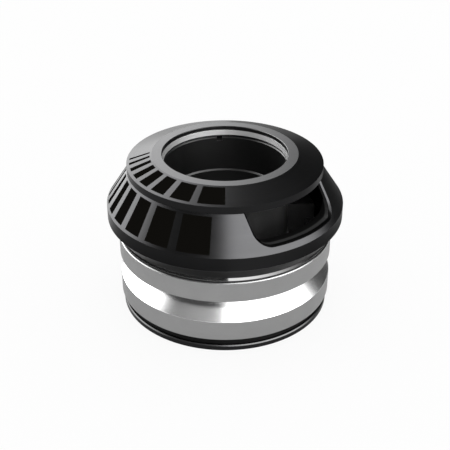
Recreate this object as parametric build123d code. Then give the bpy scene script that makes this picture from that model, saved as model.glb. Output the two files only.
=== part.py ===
"""Threadless bicycle headset for an internally routed frame.

Upper and lower angular contact cartridge bearings stand waist to waist, as
they are sold. Below them is the split crown race, and above them are the
split compression ring, the windowed cover that lets brake hoses in, and the
conical ring that the stem stands on. Millimetres. +Z is the steering axis,
the origin is the centre of the crown race's underside, and -Y is the front
of the bicycle.
"""
import math
import os

from build123d import *

# Steerer tube
steerer_diameter = 28.6
steerer_clearance = 0.05

# Cartridge bearings, 40 x 52 x 8 mm with 45 degree seats
bearing_bore = 40.0
bearing_section = 6.0
bearing_height = 8.0
seat_chamfer = 2.93
seat_land = 0.45
seat_lip_height = 1.1
edge_chamfer = 0.35
race_chamfer = 1.5
race_recess = 0.2
race_edge = 0.25

# Balls, raceways and cage
ball_diameter = 3.175
ball_count = 30
raceway_clearance = 0.1
low_shoulder_depth = 0.4
high_shoulder_depth = 1.15
pocket_clearance = 0.15
cage_race_gap = 0.2
cage_prong = 0.9
cage_seal_gap = 0.45

# Bearing seals
seal_thickness = 0.6
seal_recess = 0.25
seal_ledge = 0.45
seal_seat_clearance = 0.03
seal_lip_clearance = 0.1
seal_lip_thickness = 0.25
seal_lip_width = 0.35

# Crown race and its rubber seal
crown_bore_clearance = 0.1
crown_grip = 0.15
crown_flange_overlap = 0.45
crown_flange_height = 1.4
crown_edge_break = 0.25
crown_slit = 1.0
crown_slit_azimuth = 90.0
crown_seat_height = 1.73
crown_cone_tip = 0.15
crown_shoulder = 2.3
crown_seal_inset = 0.7
crown_seal_gap = 0.15
crown_seal_wall = 0.7
cone_seat_clearance = 0.03

# Compression ring
sleeve_relief = 0.35
sleeve_wall = 0.6
sleeve_top_gap = 0.55
sleeve_bevel = 0.25
bore_length = 10.4
nose_depth = 2.5
nose_clearance = 0.15
web_overlap = 2.0
web_height = 3.9
flange_width = 1.4
flange_gap = 0.15
hose_half_angle = 53.0
ring_slit = 1.0
ring_slit_azimuth = -135.0
key_notch_width = 1.4
key_notch_depth = 1.1
key_notch_azimuth = 54.0
web_edge_bevel = 0.4

# Cover and the cased seal under it
cover_seal_gap = 0.12
cover_seal_height = 1.15
cover_seal_inset = 0.3
cover_seal_side_gap = 0.1
cover_seal_groove = 0.35
cover_foot_inset = 0.1
underside_height = 3.4
cover_overhang = 2.48
band_edge = 0.18
band_height = 3.21
cone_height = 8.11
cover_base_wall = 4.2
cover_cone_wall = 1.35
cover_shelf_thickness = 3.9
cover_shelf_bevel = 0.3
cover_shelf_clearance = 0.05

# Window in the cover's front
window_width = 23.2
window_sill = 1.54
window_corner = 3.1
window_bevel = 0.4

# Top ring
ring_inset = 2.65
rim_overhang = 0.15
rim_height = 1.84
rim_edge = 0.15
ring_cone_height = 2.1
ring_face_width = 2.4
ring_bore_clearance = 0.65
ring_bore_depth = 1.0
ring_bore_edge = 0.1
lip_height = 1.3
lip_clearance = 0.2
spigot_depth = 0.9
spigot_clearance = 0.1
spigot_wall = 1.4
boss_wall = 1.2
sleeve_side_gap = 0.15
ring_skin = 1.6

# Radii that follow from the driving dimensions
bore_radius = steerer_diameter / 2 + steerer_clearance
relief_radius = bore_radius + sleeve_relief
sleeve_radius = relief_radius + sleeve_wall
race_bore_radius = bearing_bore / 2
bearing_radius = race_bore_radius + bearing_section
pitch_radius = race_bore_radius + bearing_section / 2
ball_radius = ball_diameter / 2
groove_radius = ball_radius + raceway_clearance
inner_low = pitch_radius - groove_radius + low_shoulder_depth
inner_high = pitch_radius - groove_radius + high_shoulder_depth
outer_low = pitch_radius + groove_radius - low_shoulder_depth
outer_high = pitch_radius + groove_radius - high_shoulder_depth
crown_bore_radius = race_bore_radius - crown_bore_clearance - crown_grip
crown_flange_radius = bearing_radius - crown_flange_overlap
web_radius = race_bore_radius + web_overlap
flange_radius = web_radius + flange_width
band_radius = bearing_radius + cover_overhang
cover_bore_radius = band_radius - cover_base_wall
ring_radius = bearing_radius - ring_inset
ring_bore_radius = steerer_diameter / 2 + ring_bore_clearance
ring_face_radius = ring_bore_radius + ring_face_width
lip_radius = steerer_diameter / 2 + lip_clearance
cover_top_radius = ring_radius - rim_overhang

# Heights, from the crown race up
lower_face_z = crown_flange_height + crown_seat_height
waist_z = lower_face_z + bearing_height
upper_face_z = waist_z + bearing_height
cover_foot_z = upper_face_z + cover_seal_gap + cover_seal_height
band_bottom_z = cover_foot_z + underside_height
band_top_z = band_bottom_z + band_height
cover_top_z = band_top_z + cone_height
rim_top_z = cover_top_z + rim_height
face_z = rim_top_z + ring_cone_height
lip_top_z = face_z - ring_bore_depth
lip_bottom_z = lip_top_z - lip_height
sleeve_top_z = lip_bottom_z - sleeve_top_gap
nose_z = upper_face_z - nose_depth


def turned(points, arc=360.0):
    """Turn a closed outline of (radius, height) points about the steering axis."""
    outline = make_face(Polyline(*[(r, 0, z) for r, z in points], close=True))
    return revolve(outline, Axis.Z, arc)


def radial_slit(width, azimuth, reach, bottom, top):
    """A straight saw cut from the axis outwards at one azimuth."""
    height = top - bottom
    blade = Pos(reach / 2, 0, bottom + height / 2) * Box(reach, width, height)
    return Rot(0, 0, azimuth) * blade


def from_waist(points, side):
    """Place a bearing outline, whose heights start at the waist, above or below it."""
    return [(r, waist_z + side * h) for r, h in points]


def ball_places(side):
    """The ball centres of one bearing."""
    ring = PolarLocations(pitch_radius, ball_count)
    return [Pos(0, 0, waist_z + side * bearing_height / 2) * place for place in ring]


def outer_race(side):
    """Outer race: 45 degree seat towards the waist, raceway and seal ledge inside."""
    middle = bearing_height / 2
    seat_radius = bearing_radius - seat_chamfer
    ledge = bearing_height - seal_recess - seal_thickness
    body = turned(from_waist([
        (seat_radius - seat_land, 0),
        (seat_radius, 0),
        (bearing_radius, seat_chamfer),
        (bearing_radius, bearing_height - edge_chamfer),
        (bearing_radius - edge_chamfer, bearing_height),
        (outer_low + seal_ledge, bearing_height),
        (outer_low + seal_ledge, ledge),
        (outer_low, ledge),
        (outer_low, middle),
        (outer_high, middle),
        (outer_high, seat_lip_height),
        (seat_radius - seat_land, seat_lip_height),
    ], side))
    raceway = Pos(0, 0, waist_z + side * middle) * Torus(pitch_radius, groove_radius)
    return body - raceway


def inner_race(side):
    """Inner race: 45 degree seat away from the waist for the ring that preloads it."""
    middle = bearing_height / 2
    body = turned(from_waist([
        (race_bore_radius, race_recess + race_edge),
        (race_bore_radius + race_edge, race_recess),
        (inner_low, race_recess),
        (inner_low, middle),
        (inner_high, middle),
        (inner_high, bearing_height),
        (race_bore_radius + race_chamfer, bearing_height),
        (race_bore_radius, bearing_height - race_chamfer),
    ], side))
    raceway = Pos(0, 0, waist_z + side * middle) * Torus(pitch_radius, groove_radius)
    return body - raceway


def balls(side):
    """All balls of one bearing, as separate solids."""
    return Compound(children=[place * Sphere(ball_radius) for place in ball_places(side)])


def ball_cage(side):
    """Crown cage: a ring away from the waist with prongs that hold the balls apart."""
    middle = bearing_height / 2
    top = bearing_height - seal_recess - seal_thickness - cage_seal_gap
    cage = turned(from_waist([
        (inner_high + cage_race_gap, middle - cage_prong),
        (outer_low - cage_race_gap, middle - cage_prong),
        (outer_low - cage_race_gap, top),
        (inner_high + cage_race_gap, top),
    ], side))
    return cage - [place * Sphere(ball_radius + pocket_clearance) for place in ball_places(side)]


def far_seal(side):
    """Rubber seal on the ledge of the outer race, on the bearing's open face."""
    low = bearing_height - seal_recess - seal_thickness
    high = bearing_height - seal_recess
    inside = inner_high + seal_lip_clearance
    outside = outer_low + seal_ledge - seal_seat_clearance
    return turned(from_waist([
        (inside, low + seal_lip_thickness),
        (inside + seal_lip_width, low),
        (outside, low),
        (outside, high),
        (inside + seal_lip_width, high),
        (inside, high - seal_lip_thickness + seal_lip_clearance),
    ], side))


def waist_seal(side):
    """Narrow rubber seal in the bore of the outer race's seat lip."""
    outside = bearing_radius - seat_chamfer - seat_land - seal_seat_clearance
    inside = inner_low + seal_lip_clearance
    return turned(from_waist([
        (inside, seal_recess),
        (outside, seal_recess),
        (outside, seal_recess + seal_thickness),
        (inside + seal_lip_clearance, seal_recess + seal_thickness),
        (inside, seal_recess + seal_lip_thickness),
    ], side))


def crown_race():
    """Split ring on the fork crown, with a 45 degree cone that carries the lower race."""
    cone_shift = cone_seat_clearance * math.sqrt(2)
    cone_foot_radius = race_bore_radius + crown_shoulder
    cone_foot_z = lower_face_z + race_chamfer - crown_shoulder - cone_shift
    tip_radius = race_bore_radius + crown_cone_tip
    tip_z = lower_face_z + race_chamfer - crown_cone_tip - cone_shift
    ring = turned([
        (crown_bore_radius, 0),
        (crown_flange_radius - crown_edge_break / 2, 0),
        (crown_flange_radius, crown_edge_break / 2),
        (crown_flange_radius, crown_flange_height - crown_edge_break),
        (crown_flange_radius - crown_edge_break, crown_flange_height),
        (cone_foot_radius, crown_flange_height),
        (cone_foot_radius, cone_foot_z),
        (tip_radius, tip_z),
        (crown_bore_radius, tip_z),
    ])
    return ring - radial_slit(crown_slit, crown_slit_azimuth, band_radius, -1, upper_face_z)


def crown_race_seal():
    """Rubber ring on the crown race's flange, with a lip up towards the bearing."""
    inside = race_bore_radius + crown_shoulder + seal_seat_clearance
    outside = crown_flange_radius - crown_seal_inset
    high = lower_face_z - crown_seal_gap
    middle = crown_flange_height + (high - crown_flange_height) / 2
    return turned([
        (inside, crown_flange_height),
        (outside, crown_flange_height),
        (outside, high),
        (outside - crown_seal_wall, high),
        (outside - crown_seal_wall, middle),
        (inside, middle),
    ])


def compression_ring():
    """Split ring: thin sleeve on the steerer, cone in the upper race, web behind them.

    The web stops at each side of the front, so that hoses pass between the
    sleeve and the bearing's inner race. A notch in the top edge takes a turning tool.
    """
    step_z = nose_z + bore_length
    sleeve = turned([
        (bore_radius, nose_z),
        (sleeve_radius, nose_z),
        (sleeve_radius, sleeve_top_z),
        (relief_radius + sleeve_bevel, sleeve_top_z),
        (relief_radius, sleeve_top_z - sleeve_bevel),
        (relief_radius, step_z + sleeve_relief),
        (bore_radius, step_z),
    ])
    cone_shift = cone_seat_clearance * math.sqrt(2)
    cone_z = upper_face_z - race_chamfer + cone_shift
    flange_z = upper_face_z + flange_gap
    wedge = turned([
        (race_bore_radius, cone_z),
        (race_bore_radius + flange_z - cone_z, flange_z),
        (flange_radius, flange_z),
        (flange_radius, cover_foot_z),
        (race_bore_radius, cover_foot_z),
    ])
    nose_radius = race_bore_radius - nose_clearance
    web_top_z = cover_foot_z + web_height
    web = turned([
        (relief_radius, nose_z),
        (nose_radius, nose_z),
        (nose_radius, cone_z),
        (race_bore_radius, cone_z),
        (race_bore_radius + flange_z - cone_z, flange_z),
        (web_radius, flange_z),
        (web_radius, web_top_z - web_edge_bevel),
        (web_radius - web_edge_bevel, web_top_z),
        (relief_radius, web_top_z),
    ], 360 - 2 * hose_half_angle)
    bore = Pos(0, 0, step_z / 2) * Cylinder(bore_radius, step_z)
    web = Rot(0, 0, hose_half_angle - 90) * web - bore
    relief_length = sleeve_top_z - step_z
    web -= Pos(0, 0, step_z + relief_length / 2) * Cylinder(relief_radius, relief_length)
    ring = sleeve + wedge + web
    ring -= radial_slit(ring_slit, ring_slit_azimuth, band_radius, 0, face_z)
    notch_z = sleeve_top_z - key_notch_depth
    return ring - radial_slit(key_notch_width, key_notch_azimuth, band_radius, notch_z, face_z)


def cover():
    """Conical cover with a bevelled window for hoses, which the top ring closes above.

    Its shelf on the compression ring stops at each side of the hose passage.
    """
    slope = (band_radius - cover_top_radius) / cone_height
    inner_cone_z = band_top_z + (band_radius - cover_cone_wall - cover_bore_radius) / slope
    shelf_radius = web_radius + cover_shelf_clearance
    shell = turned([
        (bearing_radius - cover_foot_inset, cover_foot_z),
        (band_radius - band_edge, band_bottom_z - band_edge),
        (band_radius, band_bottom_z),
        (band_radius, band_top_z),
        (cover_top_radius, cover_top_z),
        (cover_top_radius - cover_cone_wall, cover_top_z),
        (cover_bore_radius, inner_cone_z),
        (cover_bore_radius, cover_foot_z),
    ])
    shelf_top_z = cover_foot_z + cover_shelf_thickness
    shelf = turned([
        (shelf_radius, cover_foot_z),
        (cover_bore_radius + cover_shelf_clearance, cover_foot_z),
        (cover_bore_radius + cover_shelf_clearance, shelf_top_z),
        (shelf_radius + cover_shelf_bevel, shelf_top_z),
        (shelf_radius, shelf_top_z - cover_shelf_bevel),
    ], 360 - 2 * hose_half_angle)
    shell += Rot(0, 0, hose_half_angle - 90) * shelf
    sill_z = band_top_z + window_sill
    opening_height = 2 * (cover_top_z - sill_z)
    outline = RectangleRounded(window_width, opening_height, window_corner)
    opening = extrude(Plane.XZ * outline, band_radius)
    shell -= Pos(0, 0, sill_z + opening_height / 2) * opening
    rim = [
        edge for edge in shell.faces().filter_by(GeomType.CONE).sort_by(SortBy.AREA)[-1].edges()
        if sill_z - window_bevel < edge.center().Z < cover_top_z - window_bevel
    ]
    return chamfer(rim, window_bevel)


def cover_seal():
    """Rubber seal in a thin steel case under the cover, round the compression ring's flange."""
    inside = flange_radius + cover_seal_side_gap
    outside = bearing_radius - cover_seal_inset
    low = upper_face_z + cover_seal_gap
    middle = (inside + outside) / 2
    return turned([
        (inside, low),
        (middle - cover_seal_groove, low),
        (middle, low + cover_seal_groove),
        (middle + cover_seal_groove, low),
        (outside, low),
        (outside, cover_foot_z),
        (inside, cover_foot_z),
    ])


def top_ring():
    """Conical ring on the cover: flat face for the stem, stepped bore round the steerer."""
    boss_bore = sleeve_radius + sleeve_side_gap
    boss_radius = boss_bore + boss_wall
    spigot_radius = cover_top_radius - cover_cone_wall - spigot_clearance
    foot_z = cover_top_z - spigot_depth
    roof_z = rim_top_z + (ring_radius - spigot_radius + spigot_wall) * ring_cone_height / (
        ring_radius - ring_face_radius) - ring_skin
    return turned([
        (spigot_radius, foot_z),
        (spigot_radius, cover_top_z),
        (ring_radius - rim_edge, cover_top_z),
        (ring_radius, cover_top_z + rim_edge),
        (ring_radius, rim_top_z),
        (ring_face_radius, face_z),
        (ring_bore_radius + ring_bore_edge, face_z),
        (ring_bore_radius, face_z - ring_bore_edge),
        (ring_bore_radius, lip_top_z),
        (lip_radius, lip_bottom_z),
        (boss_bore, lip_bottom_z),
        (boss_bore, foot_z),
        (boss_radius, foot_z),
        (boss_radius, roof_z),
        (spigot_radius - spigot_wall, roof_z),
        (spigot_radius - spigot_wall, foot_z),
    ])


pieces = {
    "crown_race": crown_race(),
    "crown_race_seal": crown_race_seal(),
    "compression_ring": compression_ring(),
    "cover": cover(),
    "cover_seal": cover_seal(),
    "top_ring": top_ring(),
}
for name, side in (("lower", -1), ("upper", 1)):
    pieces[f"{name}_outer_race"] = outer_race(side)
    pieces[f"{name}_inner_race"] = inner_race(side)
    pieces[f"{name}_balls"] = balls(side)
    pieces[f"{name}_ball_cage"] = ball_cage(side)
    pieces[f"{name}_far_seal"] = far_seal(side)
    pieces[f"{name}_waist_seal"] = waist_seal(side)

os.makedirs("parts", exist_ok=True)
for node, shape in pieces.items():
    export_step(shape, f"parts/{node}.step")
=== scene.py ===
"""Looks of a bicycle headset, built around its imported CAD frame.

Objects are in metres. The radii, heights, depths, pitches and patch sizes of the finishes are
in millimetres, and turns are in degrees.
"""
import math

import bpy
import numpy as np
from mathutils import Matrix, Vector

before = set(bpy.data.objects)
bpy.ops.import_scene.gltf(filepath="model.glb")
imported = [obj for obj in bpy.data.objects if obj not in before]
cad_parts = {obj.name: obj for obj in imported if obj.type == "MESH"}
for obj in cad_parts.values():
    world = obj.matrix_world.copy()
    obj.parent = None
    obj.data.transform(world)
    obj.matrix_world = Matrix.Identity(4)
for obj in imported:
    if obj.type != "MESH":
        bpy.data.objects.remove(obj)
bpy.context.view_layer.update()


# The camera stands 23 cm from the object, to the left of the hose window and 30 degrees
# above the floor, with a short telephoto lens.
mm = 0.001
camera_azimuth = math.radians(-41.3)
camera_elevation = math.radians(30.0)
camera_distance = 229.0 * mm
aim_height = 19.1 * mm
lens_length = 74.2
nearest_seen = 10.0 * mm

scene = bpy.context.scene
scene.view_settings.view_transform = "Standard"
aim = Vector((0, 0, aim_height))
back = Vector((
    math.sin(camera_azimuth) * math.cos(camera_elevation),
    -math.cos(camera_azimuth) * math.cos(camera_elevation),
    math.sin(camera_elevation),
))
camera = bpy.data.objects.new("camera", bpy.data.cameras.new("camera"))
camera.data.lens = lens_length
camera.data.clip_start = nearest_seen
camera.location = aim + back * camera_distance
camera.rotation_euler = (-back).to_track_quat("-Z", "Y").to_euler()
scene.collection.objects.link(camera)
scene.camera = camera


# Crown race: the split ring that presses on the fork crown and carries the lower bearing.
# It is turned from aluminium and black anodised, which keeps the turning marks under a
# hard, half-gloss dark layer. The break of its outer edge is painted a little lighter, as a painted
# highlight.
anodic_black = "#202020"
anodic_black_light = "#242425"
anodic_edge_tint = "#D4D4D4"
edge_highlight_grey = "#303030"
turning_pitch = 0.3
dye_patch = 6.0
highlight_edge_radii = (25.33, 26.0)
highlight_edge_heights = (1.2, 2.0)


def linear(code):
    """A linear colour from an sRGB hex code: v / 12.92 below 0.04045, else a 2.4 power."""
    parts = [int(code[i:i + 2], 16) / 255 for i in (1, 3, 5)]
    return [v / 12.92 if v <= 0.04045 else ((v + 0.055) / 1.055) ** 2.4 for v in parts] + [1.0]


def add(tree, kind, settings=None):
    """Add one node. A key is a property's name, or a socket's name or number. A value that is
    another node's output is linked to the socket, and any other value is set."""
    node = tree.nodes.new(kind)
    for key, value in (settings or {}).items():
        if isinstance(value, bpy.types.NodeSocket):
            tree.links.new(value, node.inputs[key])
        elif isinstance(key, str) and hasattr(node, key):
            setattr(node, key, value)
        else:
            node.inputs[key].default_value = value
    return node


def new_material(name):
    """A new material and its empty node tree."""
    material = bpy.data.materials.new(name)
    material.use_nodes = True
    material.node_tree.nodes.clear()
    return material, material.node_tree


def dress(material, finish, *pieces):
    """Close a material with one Principled shader, and give it to CAD nodes in all their slots."""
    tree = material.node_tree
    shader = add(tree, "ShaderNodeBsdfPrincipled", finish)
    add(tree, "ShaderNodeOutputMaterial", {"Surface": shader.outputs[0]})
    for piece in pieces:
        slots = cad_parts[piece].data.materials
        slots.clear()
        slots.append(material)


def place(tree, point):
    """Where a point lies on a turned piece: its distance from the axis and its height, in mm."""
    parts = add(tree, "ShaderNodeSeparateXYZ", {0: point})
    flat = add(tree, "ShaderNodeCombineXYZ", {0: parts.outputs[0], 1: parts.outputs[1]})
    length = add(tree, "ShaderNodeVectorMath", {"operation": "LENGTH", 0: flat.outputs[0]})
    radius = add(tree, "ShaderNodeMath", {"operation": "MULTIPLY", 0: length.outputs["Value"], 1: 1 / mm})
    height = add(tree, "ShaderNodeMath", {"operation": "MULTIPLY", 0: parts.outputs[2], 1: 1 / mm})
    return radius.outputs[0], height.outputs[0]


def tool_marks(tree, radius, height, pitch):
    """Marks that run round the piece: one-way noise over radius plus height, pitch mm apart."""
    along = add(tree, "ShaderNodeMath", {"operation": "ADD", 0: radius, 1: height})
    along = add(tree, "ShaderNodeMath", {"operation": "DIVIDE", 0: along.outputs[0], 1: pitch})
    noise = add(tree, "ShaderNodeTexNoise", {
        "noise_dimensions": "1D", "W": along.outputs[0], "Scale": 1.0, "Detail": 2.0, "Roughness": 0.6})
    return noise.outputs[0]


def cloud(tree, point, size):
    """Soft patches about size mm across, from three-way noise on the object point."""
    noise = add(tree, "ShaderNodeTexNoise", {
        "Vector": point, "Scale": 1 / (size * mm), "Detail": 3.0, "Roughness": 0.55})
    return noise.outputs[0]


def between(tree, value, span, soft=0.02):
    """A mask that is 1 where a value lies in a span of mm, with edges twice soft mm wide."""
    low, high = span
    rise = add(tree, "ShaderNodeMapRange", {
        "Value": value, "From Min": low - soft, "From Max": low + soft})
    fall = add(tree, "ShaderNodeMapRange", {
        "Value": value, "From Min": high + soft, "From Max": high - soft})
    both = add(tree, "ShaderNodeMath", {"operation": "MULTIPLY", 0: rise.outputs[0], 1: fall.outputs[0]})
    return both.outputs[0]


def zone(tree, across, height, reach, rise, soft=0.02):
    """A mask that is 1 in one zone of a piece, where a measure across it lies in reach, with edges
    twice soft mm wide, and its height lies in rise."""
    both = add(tree, "ShaderNodeMath", {
        "operation": "MULTIPLY", 0: between(tree, across, reach, soft), 1: between(tree, height, rise)})
    return both.outputs[0]


def painted(tree, under, *coats):
    """A colour with coats laid over it in turn, each a mask and a colour. A mask between 0 and 1
    mixes the two. A colour is an sRGB hex code or another node's output."""
    for mask, over in coats:
        ends = [linear(colour) if isinstance(colour, str) else colour for colour in (under, over)]
        mix = add(tree, "ShaderNodeMix", {"data_type": "RGBA", 0: mask, 6: ends[0], 7: ends[1]})
        under = mix.outputs[2]
    return under


def anodised(tree, point, radius, height):
    """The finish of black anodised aluminium: dark metal with turning marks drawn twice as coarse
    as a real 0.15 mm feed, so that they show, and a faint unevenness from the dye bath."""
    marks = tool_marks(tree, radius, height, turning_pitch)
    gloss = add(tree, "ShaderNodeMapRange", {"Value": marks, "To Min": 0.26, "To Max": 0.34})
    bump = add(tree, "ShaderNodeBump", {"Height": marks, "Strength": 0.12, "Distance": 0.01 * mm})
    return {
        "Metallic": 1.0,
        "Specular Tint": linear(anodic_edge_tint),
        "Specular IOR Level": 0.0,
        "Base Color": painted(tree, anodic_black, (cloud(tree, point, dye_patch), anodic_black_light)),
        "Roughness": gloss.outputs[0],
        "Normal": bump.outputs[0],
    }


race_black, tree = new_material("black_anodised_crown_race")
point = add(tree, "ShaderNodeTexCoord").outputs["Object"]
radius, height = place(tree, point)
finish = anodised(tree, point, radius, height)
# The lighter outer edge break is a painted highlight.
painted_highlight_edge = zone(tree, radius, height, highlight_edge_radii, highlight_edge_heights)
finish["Base Color"] = painted(tree, finish["Base Color"], (painted_highlight_edge, edge_highlight_grey))
dress(race_black, finish, "crown_race")


# Seals: rings moulded from black nitrile rubber, on the crown race and on both faces of
# each bearing. The mould leaves them matt and very slightly grained.
rubber_black = "#050505"
rubber_black_light = "#0B0B0B"
mould_grain = 0.5
bloom_patch = 5.0

rubber, tree = new_material("black_nitrile_rubber")
point = add(tree, "ShaderNodeTexCoord").outputs["Object"]
grain = cloud(tree, point, mould_grain)
rough = add(tree, "ShaderNodeMapRange", {"Value": grain, "To Min": 0.5, "To Max": 0.65})
bump = add(tree, "ShaderNodeBump", {"Height": grain, "Strength": 0.2, "Distance": 0.02 * mm})
finish = {
    "Base Color": painted(tree, rubber_black, (cloud(tree, point, bloom_patch), rubber_black_light)),
    "Roughness": rough.outputs[0],
    "Specular IOR Level": 0.08,
    "Normal": bump.outputs[0],
}
dress(rubber, finish, "crown_race_seal", "upper_far_seal", "upper_waist_seal", "lower_far_seal",
      "lower_waist_seal")


# Outer races: rings of bearing steel. The outer wall has a grey phosphate layer, which is
# matt and holds oil, and the 45 degree seats and edge breaks are ground bright through it.
# The top edge break is painted a darker grey and the face under the cover black, as painted shade under the
# cover.
phosphate_grey = "#8F8F8F"
phosphate_grey_light = "#979797"
phosphate_rough = 0.7
ground_steel = "#868686"
ground_steel_light = "#929292"
break_shade_grey = "#565656"
face_shade_black = "#1C1C1C"
phosphate_patch = 4.0
phosphate_starts = (25.92, 25.98)
shaded_break_heights = (18.7, 19.5)
shaded_face_heights = (19.0, 20.0)
# Real grinding lines are finer than 0.1 mm and are drawn coarser here, so that they show.
grinding_pitch = 0.25

race_steel, tree = new_material("phosphated_race_with_ground_seats")
point = add(tree, "ShaderNodeTexCoord").outputs["Object"]
radius, height = place(tree, point)
marks = tool_marks(tree, radius, height, grinding_pitch)
ground = add(tree, "ShaderNodeMapRange", {
    "Value": radius, "From Min": phosphate_starts[1], "From Max": phosphate_starts[0]}).outputs[0]
# The darker top edge break and the black top face are painted shade under the cover.
shaded_top_break = between(tree, height, shaded_break_heights)
shaded_top_face = between(tree, height, shaded_face_heights)
grey = painted(tree, phosphate_grey, (cloud(tree, point, phosphate_patch), phosphate_grey_light))
bright = painted(tree, ground_steel, (marks, ground_steel_light), (shaded_top_break, break_shade_grey))
metal = add(tree, "ShaderNodeMath", {"operation": "SUBTRACT", "use_clamp": True, 0: ground, 1: shaded_top_face})
bright_rough = add(tree, "ShaderNodeMapRange", {"Value": marks, "To Min": 0.2, "To Max": 0.26})
rough = add(tree, "ShaderNodeMix", {
    "data_type": "FLOAT", 0: ground, 2: phosphate_rough, 3: bright_rough.outputs[0]})
bump = add(tree, "ShaderNodeBump", {"Height": marks, "Strength": 0.1, "Distance": 0.01 * mm})
finish = {
    "Base Color": painted(tree, grey, (ground, bright), (shaded_top_face, face_shade_black)),
    "Metallic": metal.outputs[0],
    "Roughness": rough.outputs[0],
    "Specular IOR Level": 0.05,
    "Normal": bump.outputs[0],
}
dress(race_steel, finish, "upper_outer_race", "lower_outer_race")


# Inner races: rings of the same steel inside the outer ones, with their own 45 degree seats,
# turned, hardened and left with the dark grey scale of the furnace under a film of oil.
scale_grey = "#2E2E2E"
scale_grey_light = "#3A3A3A"

scale_steel, tree = new_material("hardened_race_steel")
point = add(tree, "ShaderNodeTexCoord").outputs["Object"]
radius, height = place(tree, point)
marks = tool_marks(tree, radius, height, grinding_pitch)
rough = add(tree, "ShaderNodeMapRange", {"Value": marks, "To Min": 0.45, "To Max": 0.58})
finish = {
    "Base Color": painted(tree, scale_grey, (marks, scale_grey_light)),
    "Metallic": 1.0,
    "Roughness": rough.outputs[0],
}
dress(scale_steel, finish, "upper_inner_race", "lower_inner_race")


# Balls: bearing steel, ground and lapped to a mirror, thirty to a bearing, with a film of
# grease that clouds the gloss in patches.
lapped_steel = "#C4C4C6"
lapped_steel_light = "#DADADC"
oil_patch = 2.0
grease_patch = 1.2

ball_steel, tree = new_material("lapped_ball_steel")
point = add(tree, "ShaderNodeTexCoord").outputs["Object"]
rough = add(tree, "ShaderNodeMapRange", {
    "Value": cloud(tree, point, grease_patch), "To Min": 0.06, "To Max": 0.2})
finish = {
    "Base Color": painted(tree, lapped_steel, (cloud(tree, point, oil_patch), lapped_steel_light)),
    "Metallic": 1.0,
    "Roughness": rough.outputs[0],
}
dress(ball_steel, finish, "upper_balls", "lower_balls")


# Ball cages: crown-shaped rings moulded from natural nylon, cream coloured and waxy, that
# snap over the balls from one side.
nylon_cream = "#D6CFB8"
nylon_cream_light = "#E2DCC8"
flow_patch = 3.0
wax_patch = 0.8

cage_nylon, tree = new_material("moulded_natural_nylon")
point = add(tree, "ShaderNodeTexCoord").outputs["Object"]
rough = add(tree, "ShaderNodeMapRange", {
    "Value": cloud(tree, point, wax_patch), "To Min": 0.4, "To Max": 0.52})
finish = {
    "Base Color": painted(tree, nylon_cream, (cloud(tree, point, flow_patch), nylon_cream_light)),
    "Roughness": rough.outputs[0],
    "Specular IOR Level": 0.4,
}
dress(cage_nylon, finish, "upper_ball_cage", "lower_ball_cage")


# Compression ring: the split cone and sleeve that centre the steerer in the upper bearing,
# moulded from glass-filled nylon. The fibres leave a fine mottle on it. Its outside is painted
# grey, as painted light, so that the sleeve shows lit through the window, while the bore keeps
# its black.
resin_black = "#060606"
resin_black_light = "#0B0B0B"
painted_light_grey = "#323232"
painted_light_grey_fleck = "#404040"
resin_patch = 5.0
# The glass fibres are 0.2 to 0.4 mm long.
fibre_size = 0.4
painted_light_radii = (14.9, 40.0)
painted_light_heights = (0.0, 35.8)

resin, tree = new_material("black_glass_filled_nylon")
point = add(tree, "ShaderNodeTexCoord").outputs["Object"]
radius, height = place(tree, point)
fibre = cloud(tree, point, fibre_size)
bore_black = painted(tree, resin_black, (cloud(tree, point, resin_patch), resin_black_light))
# The outside of the sleeve is painted grey, as painted light.
lit_outside_colour = painted(tree, painted_light_grey, (fibre, painted_light_grey_fleck))
painted_light_outside = zone(tree, radius, height, painted_light_radii, painted_light_heights)
rough = add(tree, "ShaderNodeMapRange", {"Value": fibre, "To Min": 0.32, "To Max": 0.44})
bump = add(tree, "ShaderNodeBump", {"Height": fibre, "Strength": 0.15, "Distance": 0.01 * mm})
finish = {
    "Base Color": painted(tree, bore_black, (painted_light_outside, lit_outside_colour)),
    "Roughness": rough.outputs[0],
    "Specular IOR Level": 0.25,
    "Normal": bump.outputs[0],
}
dress(resin, finish, "compression_ring")


# Cover seal: a rubber lip in a thin case of polished steel strip, rolled to a ring, that
# sits on the bearing under the cover. The case mirrors the floor as a bright band, and a
# thin black line of the lip shows below it.
polished_steel = "#DCDCDC"
polished_steel_light = "#EAEAEA"
lip_black = "#080808"
lip_rough = 0.55
rubber_lip_heights = (19.0, 19.5)
# Polishing lines are finer than 0.1 mm too, and are drawn coarser.
polishing_pitch = 0.2


def less_metal(tree, metal, mask, share=1.0):
    """Metallic less a share of a mask, and not below 0."""
    less = add(tree, "ShaderNodeMath", {
        "operation": "MULTIPLY_ADD", "use_clamp": True, 0: mask, 1: -share, 2: metal})
    return less.outputs[0]


seal_steel, tree = new_material("polished_seal_case")
point = add(tree, "ShaderNodeTexCoord").outputs["Object"]
radius, height = place(tree, point)
marks = tool_marks(tree, radius, height, polishing_pitch)
rubber_lip = between(tree, height, rubber_lip_heights)
case_rough = add(tree, "ShaderNodeMapRange", {"Value": marks, "To Min": 0.08, "To Max": 0.14})
rough = add(tree, "ShaderNodeMix", {
    "data_type": "FLOAT", 0: rubber_lip, 2: case_rough.outputs[0], 3: lip_rough})
finish = {
    "Base Color": painted(tree, polished_steel, (marks, polished_steel_light), (rubber_lip, lip_black)),
    "Metallic": less_metal(tree, 1.0, rubber_lip),
    "Roughness": rough.outputs[0],
}
dress(seal_steel, finish, "cover_seal")


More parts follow.
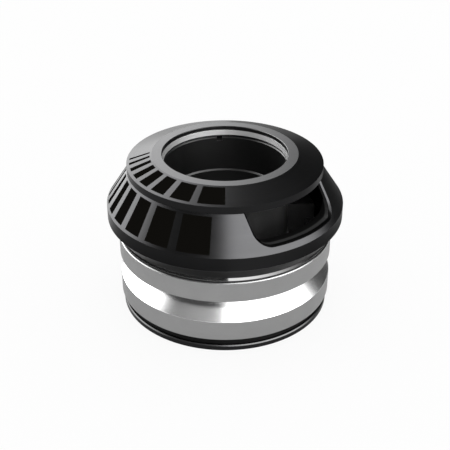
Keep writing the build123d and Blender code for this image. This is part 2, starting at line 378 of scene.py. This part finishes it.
# Cover: the cone that keeps water out and lets the hoses in through its window, turned and
# milled from aluminium, then black anodised. A row of bars from thick to thin, printed in
# matt black ink, goes round its left side.
ink_black = "#100F0D"
ink_rough = 0.5
painted_light_wall_grey = "#464646"
deep_wall_shade_grey = "#181818"
bevel_shade_black = "#0A0A0A"
bar_widths = (16.0, 13.0, 10.0, 8.0, 6.0, 4.5, 3.2, 2.2)
bar_gap = 4.0
cover_first_bar = -42.1
cover_bar_heights = (27.6, 34.6)
cone_heights = (27.01, 35.12)
cone_radii = (28.48, 23.2)
above_foot = (23.0, 60.0)
painted_light_wall_depths = (0.6, 40.0)
shaded_wall_depths = (1.6, 40.0)
shaded_bevel_depths = (0.06, 0.6)
shaded_bevel_heights = (28.0, 34.9)
shaded_bevel_right_end = (10.6, 11.0)


def bars(tree, point, first_edge):
    """A mask of upright bars side by side round the axis, over the angle from -X.

    The angle is the arc tangent of y over minus x. Sharp steps of a colour ramp over it are 1 on
    each bar and 0 in each gap. The first bar starts at first_edge degrees.
    """
    parts = add(tree, "ShaderNodeSeparateXYZ", {0: point})
    minus_x = add(tree, "ShaderNodeMath", {"operation": "MULTIPLY", 0: parts.outputs[0], 1: -1.0})
    angle = add(tree, "ShaderNodeMath", {"operation": "ARCTAN2", 0: parts.outputs[1], 1: minus_x.outputs[0]})
    span = sum(bar_widths) + bar_gap * (len(bar_widths) + 1)
    start = math.radians(first_edge - bar_gap)
    share = add(tree, "ShaderNodeMapRange", {
        "Value": angle.outputs[0], "From Min": start, "From Max": start + math.radians(span)})
    ramp = add(tree, "ShaderNodeValToRGB", {0: share.outputs[0]})
    ramp.color_ramp.interpolation = "CONSTANT"
    steps = ramp.color_ramp.elements
    steps.remove(steps[1])
    steps[0].color = linear("#000000")
    reach = bar_gap
    for width in bar_widths:
        steps.new(reach / span).color = linear("#FFFFFF")
        steps.new((reach + width) / span).color = linear("#000000")
        reach += width + bar_gap
    return ramp.outputs[0]


def print_bars(tree, point, height, finish, first_edge, rise):
    """Lay the ink bars over a finish, where the height lies in rise."""
    ink = add(tree, "ShaderNodeMath", {
        "operation": "MULTIPLY", 0: bars(tree, point, first_edge), 1: between(tree, height, rise)}).outputs[0]
    finish["Metallic"] = less_metal(tree, finish["Metallic"], ink)
    finish["Base Color"] = painted(tree, finish["Base Color"], (ink, ink_black))
    finish["Roughness"] = add(tree, "ShaderNodeMix", {
        "data_type": "FLOAT", 0: ink, 2: finish["Roughness"], 3: ink_rough}).outputs[0]


cover_black, tree = new_material("black_anodised_cover")
point = add(tree, "ShaderNodeTexCoord").outputs["Object"]
radius, height = place(tree, point)
finish = anodised(tree, point, radius, height)
print_bars(tree, point, height, finish, cover_first_bar, cover_bar_heights)

# The wall that the window cuts through is less shiny than the cone and painted greyer, as
# painted light, and further in it is painted dark, as painted shade. The bevel along the window's
# left side and sill is painted a deeper black, as painted shade.
cone_at_height = add(tree, "ShaderNodeMapRange", {
    "Value": height, "From Min": cone_heights[0], "From Max": cone_heights[1],
    "To Min": cone_radii[0], "To Max": cone_radii[1]})
depth = add(tree, "ShaderNodeMath", {"operation": "SUBTRACT", 0: cone_at_height.outputs[0], 1: radius})
depth = depth.outputs[0]
painted_light_wall = zone(tree, depth, height, painted_light_wall_depths, above_foot, soft=0.1)
shaded_deep_wall = zone(tree, depth, height, shaded_wall_depths, above_foot, soft=0.15)
shaded_bevel = zone(tree, depth, height, shaded_bevel_depths, shaded_bevel_heights, soft=0.04)
across = add(tree, "ShaderNodeSeparateXYZ", {0: point}).outputs[0]
left_and_sill = add(tree, "ShaderNodeMapRange", {
    "Value": across, "From Min": shaded_bevel_right_end[1] * mm, "From Max": shaded_bevel_right_end[0] * mm})
shaded_bevel = add(tree, "ShaderNodeMath", {"operation": "MULTIPLY", 0: shaded_bevel, 1: left_and_sill.outputs[0]})
finish["Metallic"] = less_metal(tree, finish["Metallic"], painted_light_wall, share=0.6)
finish["Base Color"] = painted(
    tree, finish["Base Color"],
    (painted_light_wall, painted_light_wall_grey), (shaded_deep_wall, deep_wall_shade_grey), (shaded_bevel.outputs[0], bevel_shade_black))
dress(cover_black, finish, "cover")


# Top ring: the flat-topped cone that the stem stands on, turned from aluminium and black
# anodised, with the same row of bars. The lip in its bore is bare, blasted metal, and the
# wall of the bore above the lip is a little greyer than the outside.
bore_grey = "#464646"
blasted_grey = "#9C9C9C"
blasted_rough = 0.5
ring_first_bar = -49.1
ring_bar_heights = (37.2, 38.9)
bare_lip_radii = (14.0, 14.93)
bare_lip_heights = (36.9, 38.1)
bore_wall_radii = (14.93, 15.0)
bore_wall_heights = (38.14, 39.0)

ring_black, tree = new_material("black_anodised_top_ring")
point = add(tree, "ShaderNodeTexCoord").outputs["Object"]
radius, height = place(tree, point)
finish = anodised(tree, point, radius, height)
print_bars(tree, point, height, finish, ring_first_bar, ring_bar_heights)
bare_lip = zone(tree, radius, height, bare_lip_radii, bare_lip_heights)
bore_wall = zone(tree, radius, height, bore_wall_radii, bore_wall_heights)
finish["Metallic"] = less_metal(tree, finish["Metallic"], bare_lip, share=0.9)
finish["Base Color"] = painted(tree, finish["Base Color"], (bore_wall, bore_grey), (bare_lip, blasted_grey))
finish["Roughness"] = add(tree, "ShaderNodeMix", {
    "data_type": "FLOAT", 0: bare_lip, 2: finish["Roughness"], 3: blasted_rough}).outputs[0]
dress(ring_black, finish, "top_ring")


# The floor is a pale matt sheet, far larger than the camera sees. The camera and the gloss
# of the object see most of it as an even white.
sheet_white = "#F4F4F4"
even_white = "#FFFFFF"
even_white_share = 0.9
floor_half = 3.0

corners = [
    (-floor_half, -floor_half, 0),
    (floor_half, -floor_half, 0),
    (floor_half, floor_half, 0),
    (-floor_half, floor_half, 0),
]
floor_mesh = bpy.data.meshes.new("floor")
floor_mesh.from_pydata(corners, [], [(0, 1, 2, 3)])
floor = bpy.data.objects.new("floor", floor_mesh)
scene.collection.objects.link(floor)
sheet, tree = new_material("pale_sheet")
path = add(tree, "ShaderNodeLightPath")
seen = add(tree, "ShaderNodeMath", {
    "operation": "ADD", "use_clamp": True,
    0: path.outputs["Is Camera Ray"], 1: path.outputs["Is Glossy Ray"]})
seen = add(tree, "ShaderNodeMath", {
    "operation": "ADD", "use_clamp": True,
    0: seen.outputs[0], 1: path.outputs["Is Transmission Ray"]})
share = add(tree, "ShaderNodeMath", {"operation": "MULTIPLY", 0: seen.outputs[0], 1: even_white_share})
matt = add(tree, "ShaderNodeBsdfDiffuse", {"Color": linear(sheet_white)})
glow = add(tree, "ShaderNodeEmission", {"Color": linear(even_white), "Strength": 1.0})
both = add(tree, "ShaderNodeMixShader", {0: share.outputs[0], 1: matt.outputs[0], 2: glow.outputs[0]})
add(tree, "ShaderNodeOutputMaterial", {"Surface": both.outputs[0]})
floor_mesh.materials.append(sheet)


# Softboxes and flags stand round the object on all sides. They are only seen in its gloss,
# while the even light on matt surfaces comes from the world.
card_columns = 60
card_rows = 24
hard_edges = (0.0, 0.0, 0.0, 0.0)
lowest_card = 0.4 * mm


def grid_card(name, points, material):
    """A card from a grid of points with a UV map that runs from 0 to 1 both ways."""
    rows, columns = points.shape[:2]
    across, up = np.meshgrid(np.linspace(0, 1, columns), np.linspace(0, 1, rows))
    corner = np.arange(rows * columns).reshape(rows, columns)
    faces = np.stack([
        corner[:-1, :-1],
        corner[:-1, 1:],
        corner[1:, 1:],
        corner[1:, :-1],
    ], axis=-1).reshape(-1, 4)
    mesh = bpy.data.meshes.new(name)
    mesh.from_pydata(points.reshape(-1, 3).tolist(), [], faces.tolist())
    uv = mesh.uv_layers.new(name="card")
    places = np.stack([across, up], axis=-1).reshape(-1, 2)[faces.reshape(-1)]
    uv.data.foreach_set("uv", places.astype(np.float32).ravel())
    mesh.materials.append(material)
    card = bpy.data.objects.new(name, mesh)
    scene.collection.objects.link(card)
    card.visible_camera = False
    card.visible_diffuse = False
    card.visible_transmission = False
    card.visible_shadow = False


def card_light(name, strength, soft):
    """White light that fades in from a card's left, right, low and high edge over soft, as shares
    of the card, which is clear where it has faded."""
    material, tree = new_material(name)
    lamp = add(tree, "ShaderNodeEmission", {"Color": linear(even_white), "Strength": strength})
    clear = add(tree, "ShaderNodeBsdfTransparent")
    card_map = add(tree, "ShaderNodeUVMap", {"uv_map": "card"})
    spot = add(tree, "ShaderNodeSeparateXYZ", {0: card_map.outputs[0]})
    light = 1.0
    for axis, edge, inwards in ((0, 0.0, soft[0]), (0, 1.0, -soft[1]), (1, 0.0, soft[2]), (1, 1.0, -soft[3])):
        if inwards == 0:
            continue
        fade = add(tree, "ShaderNodeMapRange", {
            "interpolation_type": "SMOOTHSTEP",
            "Value": spot.outputs[axis], "From Min": edge, "From Max": edge + inwards})
        product = add(tree, "ShaderNodeMath", {"operation": "MULTIPLY", 0: light, 1: fade.outputs[0]})
        light = product.outputs[0]
    both = add(tree, "ShaderNodeMixShader", {0: light, 1: clear.outputs[0], 2: lamp.outputs[0]})
    add(tree, "ShaderNodeOutputMaterial", {"Surface": both.outputs[0]})
    return material


def studio_card(name, strength, turn, rise, radius, soft=hard_edges):
    """A card bent round the object, over a range of turns from the camera's side and of height
    angles from the aim, in degrees: radius times (sin turn cos rise, -cos turn cos rise, sin rise),
    lifted by the aim's height and kept above the floor."""
    turns, rises = np.meshgrid(
        np.radians(np.linspace(*turn, card_columns)) + camera_azimuth,
        np.radians(np.linspace(*rise, card_rows)),
    )
    points = np.stack([
        radius * np.sin(turns) * np.cos(rises),
        -radius * np.cos(turns) * np.cos(rises),
        np.maximum(aim_height + radius * np.sin(rises), lowest_card),
    ], axis=-1)
    grid_card(name, points, card_light(name, strength, soft))


studio_card("black_tent", 0.3, (-180, 180), (-3, 89.9), 0.9)
studio_card("back_softbox", 13.8, (-196, -150), (-3, 71), 0.5, soft=(0.55, 0.0, 0.36, 0.24))
studio_card("left_softbox", 15.0, (-150, -67), (-3, 71), 0.5, soft=(0.0, 0.4, 0.06, 0.24))
studio_card("left_low_card", 8.0, (-156, -90), (-9, 3), 0.12, soft=(0.3, 0.3, 0.5, 0.0))
studio_card("right_softbox", 16.7, (0, 109), (9, 54), 0.45, soft=(0.02, 0.24, 0.14, 0.06))
studio_card("high_right_card", 3.0, (8, 104), (52, 67), 0.48, soft=(0.03, 0.2, 0.1, 0.1))
studio_card("high_left_card", 1.3, (-80, 8), (42, 64), 0.52, soft=(0.1, 0.0, 0.2, 0.1))
studio_card("right_flag", 0.14, (108, 161), (-8, 50), 0.13)
studio_card("back_low_flag", 0.35, (158, 179), (-8, 8.5), 0.14)


# Dark strips lie on the floor round the object, as black paper does in such a studio. They
# too are only seen in its gloss, and keep the white floor out of the undersides.
strip_height = 0.3 * mm
strip_inner = 38.0


def floor_strip(name, strength, turn, inner, outer, soft=hard_edges):
    """A flat strip over a range of turns in degrees, radius times (sin turn, -cos turn). It reaches
    from inner to outer mm, and each is one number or an array with a number for each column."""
    turns = np.linspace(*turn, card_columns)
    radii = np.linspace(np.broadcast_to(inner, turns.shape), np.broadcast_to(outer, turns.shape), 3) * mm
    angles = np.radians(turns) + camera_azimuth
    points = np.stack([
        radii * np.sin(angles),
        -radii * np.cos(angles),
        np.full_like(radii, strip_height),
    ], axis=-1)
    grid_card(name, points, card_light(name, strength, soft))


# The left strip starts further out in front and grows narrower towards the back.
left_turn = (-170.0, 2.5)
left_turns = np.linspace(*left_turn, card_columns)
left_inner = np.interp(left_turns, (-45.0, -15.0), (strip_inner, 50.0))
left_outer = 65.0 - 18.0 * (left_turns / 150.0) ** 2
floor_strip("left_strip", 0.01, left_turn, left_inner, left_outer)
floor_strip("right_fading_strip", 0.03, (13.0, 81.0), strip_inner, 62.0, soft=(1.0, 0.0, 0.0, 0.0))
floor_strip("right_strip", 0.03, (81.0, 135.0), strip_inner, 60.0)
floor_strip("back_right_strip", 0.2, (128.0, 176.0), strip_inner, 130.0, soft=(0.2, 0.1, 0.0, 0.0))


# The world lights matt surfaces evenly in white. The tent of cards keeps it out of the gloss.
world = bpy.data.worlds.new("studio")
scene.world = world
world.use_nodes = True
sky = world.node_tree.nodes["Background"]
sky.inputs["Color"].default_value = linear(even_white)
sky.inputs["Strength"].default_value = 1.0
